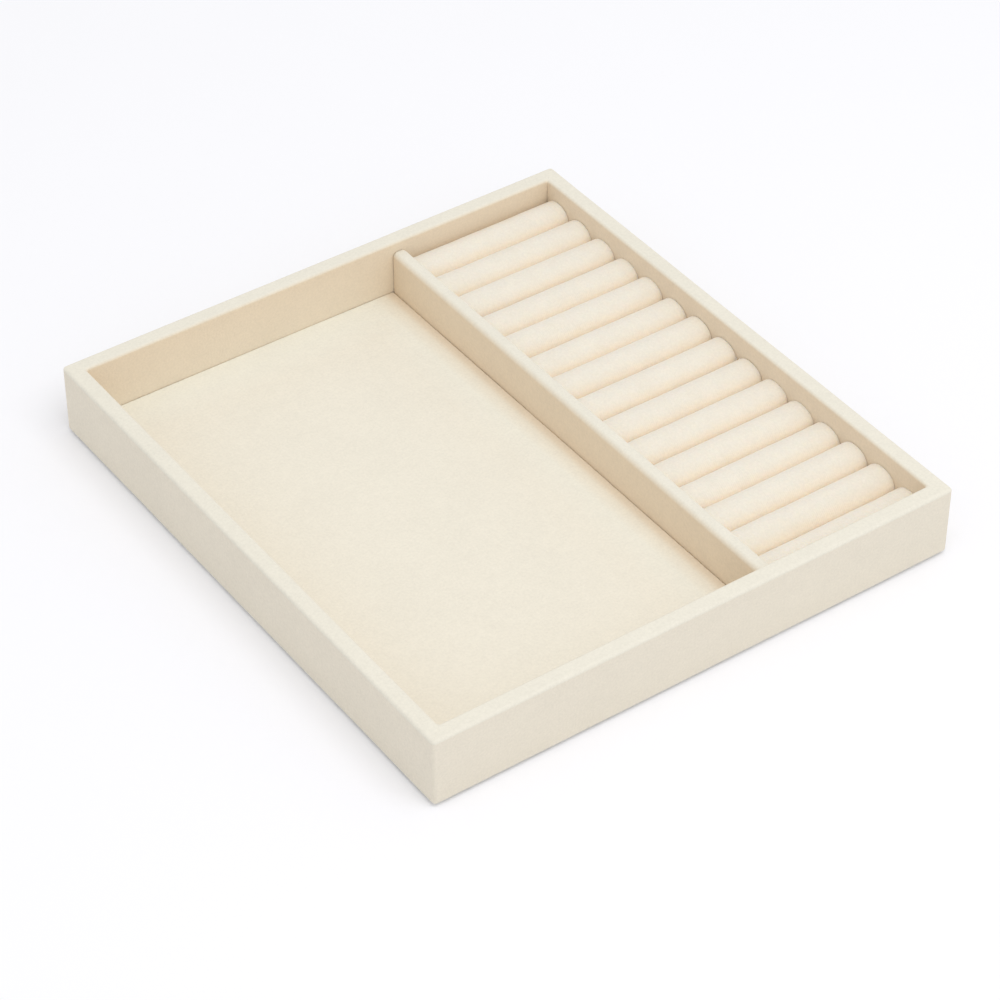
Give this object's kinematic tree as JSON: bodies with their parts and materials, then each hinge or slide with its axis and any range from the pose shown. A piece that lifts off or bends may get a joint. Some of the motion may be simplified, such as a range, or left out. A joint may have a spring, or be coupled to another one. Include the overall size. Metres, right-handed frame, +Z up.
{
  "type": "ring tray insert",
  "caption": "Shallow suede-wrapped tray insert with an open compartment, a low divider and a bank of padded ring rolls side by side.",
  "frame": {"origin": "middle of the footprint, on the surface the tray stands on", "axes": "+Z up, through the tray's height; +X along the width, from the open compartment towards the ring rolls; +Y along the depth, towards the back"},
  "size_m": [0.28, 0.305, 0.038],
  "materials": {
    "suede_cloth": "matt cream suede cloth",
    "velvet_cloth": "matt warm cream velvet",
    "wool_felt": "beige felt",
    "fibreboard": "raw sanded fibreboard",
    "grey_card": "raw grey card",
    "foam": "soft open-cell foam"
  },
  "bodies": {
    "root": {"underside_felt": "wool_felt", "base_board": "fibreboard", "front_wall_board": "fibreboard", "back_wall_board": "fibreboard", "left_wall_board": "fibreboard", "right_wall_board": "fibreboard", "divider_board": "fibreboard", "outer_wrap": "suede_cloth", "floor_lining": "suede_cloth", "divider_wrap": "suede_cloth", "floor_card": "grey_card", "ring_bank_board": "foam", "ring_roll_foam_01": "foam", "ring_roll_foam_02": "foam", "ring_roll_foam_03": "foam", "ring_roll_foam_04": "foam", "ring_roll_foam_05": "foam", "ring_roll_foam_06": "foam", "ring_roll_foam_07": "foam", "ring_roll_foam_08": "foam", "ring_roll_foam_09": "foam", "ring_roll_foam_10": "foam", "ring_roll_foam_11": "foam", "ring_roll_foam_12": "foam", "ring_roll_foam_13": "foam", "ring_roll_foam_14": "foam", "ring_roll_foam_15": "foam", "ring_roll_sleeve_01": "velvet_cloth", "ring_roll_sleeve_02": "velvet_cloth", "ring_roll_sleeve_03": "velvet_cloth", "ring_roll_sleeve_04": "velvet_cloth", "ring_roll_sleeve_05": "velvet_cloth", "ring_roll_sleeve_06": "velvet_cloth", "ring_roll_sleeve_07": "velvet_cloth", "ring_roll_sleeve_08": "velvet_cloth", "ring_roll_sleeve_09": "velvet_cloth", "ring_roll_sleeve_10": "velvet_cloth", "ring_roll_sleeve_11": "velvet_cloth", "ring_roll_sleeve_12": "velvet_cloth", "ring_roll_sleeve_13": "velvet_cloth", "ring_roll_sleeve_14": "velvet_cloth", "ring_roll_sleeve_15": "velvet_cloth"}
  },
  "joints": []
}
